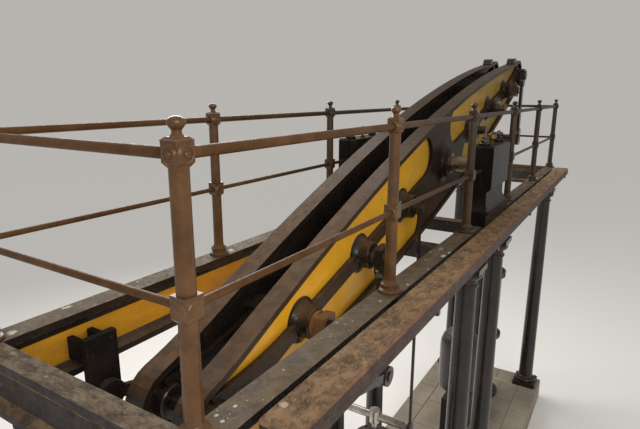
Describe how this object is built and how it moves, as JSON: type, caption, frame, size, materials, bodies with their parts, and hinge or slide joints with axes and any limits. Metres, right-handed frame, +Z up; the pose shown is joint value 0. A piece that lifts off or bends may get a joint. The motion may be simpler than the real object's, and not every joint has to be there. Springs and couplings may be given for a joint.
{
  "type": "beam engine",
  "caption": "Beam pumping engine: twin-cheek cast-iron beam on railed girders, parallel motion, steam cylinder, air pump and main pump on a stone bed.",
  "frame": {"origin": "on the ground, straight below the middle of the gudgeon", "axes": "+X across the engine towards the side with the edge beam, +Y along the engine from the steam cylinder to the pump, +Z up"},
  "size_m": [2.222, 9.6592, 6.9139],
  "materials": {
    "stone": "dressed sandstone with dust and stains",
    "black_paint": "glossy black paint over cast iron, worn at the edges",
    "ochre_paint": "yellow-ochre gloss paint on the web, black and worn grey flanges",
    "beam_paint": "dusty grey-brown flanges over black paint, yellow-ochre recessed panels",
    "worn_grey": "worn mottled grey paint with scuffs and rust edges",
    "brown_paint": "brown gloss paint, chipped and grimy",
    "bright_steel": "oiled bright steel",
    "brass": "dull brass"
  },
  "bodies": {
    "frame": {"stone_bed": "stone", "columns": "black_paint", "girder_left": "ochre_paint", "girder_right": "ochre_paint", "cross_girders": "worn_grey", "edge_beam": "worn_grey", "edge_brackets": "black_paint", "pedestals": "black_paint", "pedestal_caps": "black_paint", "bearing_brasses": "brass", "oil_cups": "brass", "posts_left": "brown_paint", "posts_right": "brown_paint", "top_rails": "brown_paint", "lower_rails": "brown_paint", "radius_brackets": "black_paint", "steam_cylinder": "black_paint", "cylinder_cover": "black_paint", "steam_chest": "black_paint", "exhaust_pipe": "black_paint", "condenser": "black_paint", "air_pump_barrel": "black_paint", "pump_barrel": "black_paint", "pump_cover": "black_paint", "valve_chest": "black_paint", "air_vessel": "black_paint"},
    "beam": {"cheek_left": "beam_paint", "cheek_right": "beam_paint", "gudgeon": "bright_steel", "beam_pins": "bright_steel", "pin_nuts": "black_paint", "distance_pieces": "black_paint", "end_lugs": "black_paint"},
    "main_links": {"main_links": "black_paint"},
    "back_links": {"back_links": "black_paint"},
    "parallel_bars": {"parallel_bars": "black_paint"},
    "radius_rods": {"radius_rods": "black_paint"},
    "piston": {"crosshead": "black_paint", "piston_rod": "bright_steel"},
    "pump_links": {"pump_links": "black_paint"},
    "pump_plunger": {"pump_crosshead": "black_paint", "pump_rod": "bright_steel"},
    "air_pump_links": {"air_pump_links": "black_paint"},
    "air_pump_bucket": {"air_pump_crosshead": "bright_steel"}
  },
  "joints": [
    {"name": "beam_rock", "type": "hinge", "parent": "frame", "child": "beam", "pos_m": [0, 0, 5.53146], "axis": [-1, 0, 0], "range_deg": [0, 32]},
    {"name": "main_link_swing", "type": "hinge", "parent": "beam", "child": "main_links", "pos_m": [0, -3.87389, 4.42064], "axis": [-1, 0, 0], "range_deg": [-33, 0]},
    {"name": "back_link_swing", "type": "hinge", "parent": "beam", "child": "back_links", "pos_m": [0, -2.01865, 4.95262], "axis": [-1, 0, 0], "range_deg": [-33, 0]},
    {"name": "parallel_bar_swing", "type": "hinge", "parent": "back_links", "child": "parallel_bars", "pos_m": [0, -2.01865, 3.85262], "axis": [-1, 0, 0], "range_deg": [0, 33]},
    {"name": "radius_rod_swing", "type": "hinge", "parent": "frame", "child": "radius_rods", "pos_m": [0, -4.0373, 4.43146], "axis": [-1, 0, 0], "range_deg": [-33, 0]},
    {"name": "piston_slide", "type": "slide", "parent": "frame", "child": "piston", "axis": [0, 0, 1], "range_m": [0, 2.2226]},
    {"name": "pump_link_swing", "type": "hinge", "parent": "beam", "child": "pump_links", "pos_m": [0, 3.87389, 6.64227], "axis": [-1, 0, 0], "range_deg": [-33, 0]},
    {"name": "pump_rod_slide", "type": "slide", "parent": "frame", "child": "pump_plunger", "axis": [0, 0, -1], "range_m": [0, 2.2226]},
    {"name": "air_pump_link_swing", "type": "hinge", "parent": "beam", "child": "air_pump_links", "pos_m": [0, -1.10545, 5.21447], "axis": [-1, 0, 0], "range_deg": [-33, 0]},
    {"name": "air_pump_slide", "type": "slide", "parent": "frame", "child": "air_pump_bucket", "axis": [0, 0, 1], "range_m": [0, 0.635]}
  ],
  "couplings": [
    {"joint": "main_link_swing", "follows": "beam_rock", "ratio": -1},
    {"joint": "back_link_swing", "follows": "beam_rock", "ratio": -1},
    {"joint": "parallel_bar_swing", "follows": "beam_rock", "ratio": 1},
    {"joint": "radius_rod_swing", "follows": "beam_rock", "ratio": -1},
    {"joint": "piston_slide", "follows": "beam_rock", "m_per_rad": 3.9778},
    {"joint": "pump_link_swing", "follows": "beam_rock", "ratio": -1},
    {"joint": "pump_rod_slide", "follows": "beam_rock", "m_per_rad": 3.9778},
    {"joint": "air_pump_link_swing", "follows": "beam_rock", "ratio": -1},
    {"joint": "air_pump_slide", "follows": "beam_rock", "m_per_rad": 1.1351}
  ]
}
